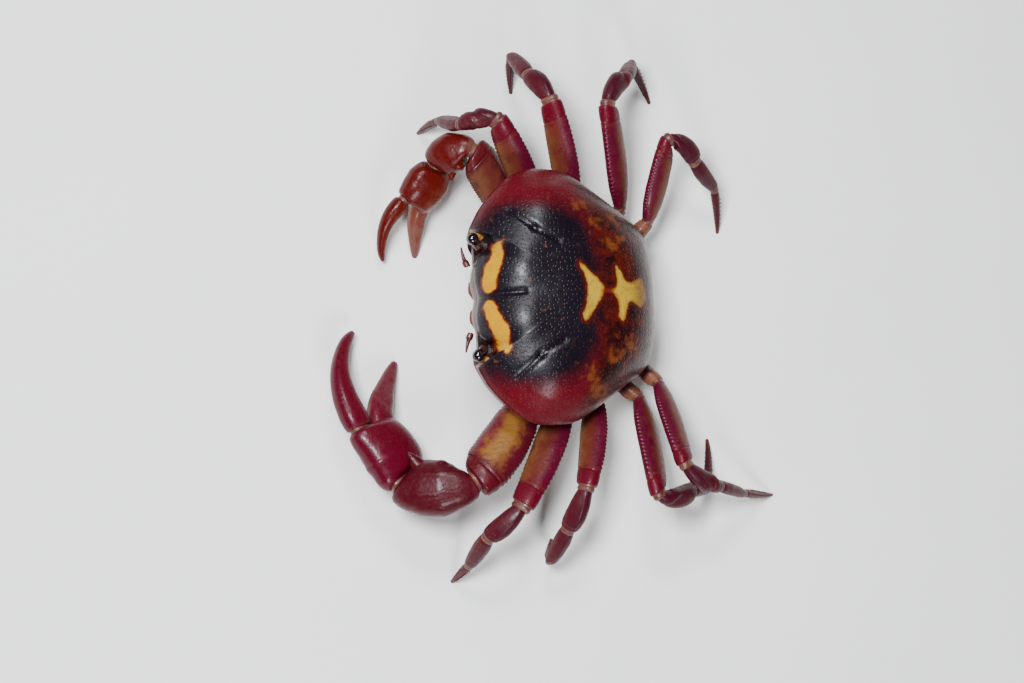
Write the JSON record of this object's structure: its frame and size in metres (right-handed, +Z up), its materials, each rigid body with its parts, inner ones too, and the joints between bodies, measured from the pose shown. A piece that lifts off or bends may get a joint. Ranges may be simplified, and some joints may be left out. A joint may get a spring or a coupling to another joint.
{
  "type": "freshwater crab austrothelphusa agassizi",
  "caption": "Life-size still model of a dark crimson freshwater crab with a broad smooth carapace, yellow bars behind the eyes and unequal claws.",
  "frame": {"origin": "centre of the model's footprint on the floor, under its leg tips and claws", "axes": "+Z up from the floor, +X towards the crab's left side, the crab faces -Y"},
  "size_m": [0.0754, 0.065, 0.0212],
  "materials": {
    "shell": "glossy wet black to crimson shell with yellow and cream marks",
    "claw": "glossy crimson and orange-red shell, finely granular",
    "leg": "satin crimson to violet-brown shell with cream edges",
    "leg_tip": "crimson shell with rows of pale spines",
    "joint_base": "tan and purple leg base",
    "underside": "cream to tan underside",
    "mouthparts": "brownish purple plates",
    "eye": "glossy black",
    "feeler": "orange-red"
  },
  "bodies": {
    "root": {"carapace": "shell", "sternum": "underside", "abdomen": "underside", "mouth_shield_right": "mouthparts", "eye_right": "eye", "feeler_right": "feeler", "mouth_shield_left": "mouthparts", "eye_left": "eye", "feeler_left": "feeler", "claw_left_base": "joint_base", "claw_left_arm": "claw", "claw_left_wrist": "claw", "claw_left_palm": "claw", "claw_left_finger": "claw", "claw_right_base": "joint_base", "claw_right_arm": "claw", "claw_right_wrist": "claw", "claw_right_palm": "claw", "claw_right_finger": "claw", "leg_2_right_base": "joint_base", "leg_2_right_merus": "leg", "leg_2_right_carpus": "leg", "leg_2_right_propodus": "leg", "leg_2_right_dactylus": "leg_tip", "leg_2_left_base": "joint_base", "leg_2_left_merus": "leg", "leg_2_left_carpus": "leg", "leg_2_left_propodus": "leg", "leg_2_left_dactylus": "leg_tip", "leg_3_right_base": "joint_base", "leg_3_right_merus": "leg", "leg_3_right_carpus": "leg", "leg_3_right_propodus": "leg", "leg_3_right_dactylus": "leg_tip", "leg_3_left_base": "joint_base", "leg_3_left_merus": "leg", "leg_3_left_carpus": "leg", "leg_3_left_propodus": "leg", "leg_3_left_dactylus": "leg_tip", "leg_4_right_base": "joint_base", "leg_4_right_merus": "leg", "leg_4_right_carpus": "leg", "leg_4_right_propodus": "leg", "leg_4_right_dactylus": "leg_tip", "leg_4_left_base": "joint_base", "leg_4_left_merus": "leg", "leg_4_left_carpus": "leg", "leg_4_left_propodus": "leg", "leg_4_left_dactylus": "leg_tip", "leg_5_right_base": "joint_base", "leg_5_right_merus": "leg", "leg_5_right_carpus": "leg", "leg_5_right_propodus": "leg", "leg_5_right_dactylus": "leg_tip", "leg_5_left_base": "joint_base", "leg_5_left_merus": "leg", "leg_5_left_carpus": "leg", "leg_5_left_propodus": "leg", "leg_5_left_dactylus": "leg_tip"}
  },
  "joints": []
}
